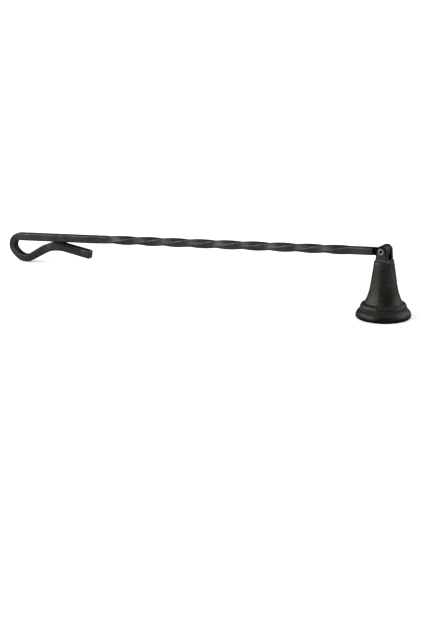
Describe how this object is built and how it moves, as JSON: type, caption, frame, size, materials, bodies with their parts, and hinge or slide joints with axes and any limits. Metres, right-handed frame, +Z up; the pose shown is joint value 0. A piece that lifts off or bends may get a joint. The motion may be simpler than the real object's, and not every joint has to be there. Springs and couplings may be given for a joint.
{
  "type": "candle snuffer",
  "caption": "Candle snuffer: a small iron bell hinged on a hollow rivet to a twisted square bar that ends in a bent hanging eye.",
  "frame": {"origin": "centre of the bell's mouth, on the plane of the table", "axes": "+Z up along the bell's axis, the handle runs towards -X, and the hinge turns about Y"},
  "size_m": [0.3054, 0.0354, 0.0469],
  "materials": {
    "black_bar": "satin black coat over square steel bar, lighter along worn edges",
    "black_casting": "satin black coat over a fine-grained casting",
    "bare_rivet": "worn bright steel, dark in the bore"
  },
  "bodies": {
    "handle": {"handle_bar": "black_bar"},
    "bell": {"snuffer_bell": "black_casting", "hinge_rivet": "bare_rivet"}
  },
  "joints": [
    {"name": "bell_swing", "type": "hinge", "parent": "handle", "child": "bell", "pos_m": [0, 0, 0.04317], "axis": [0, -1, 0], "range_deg": [-21, 219]}
  ]
}
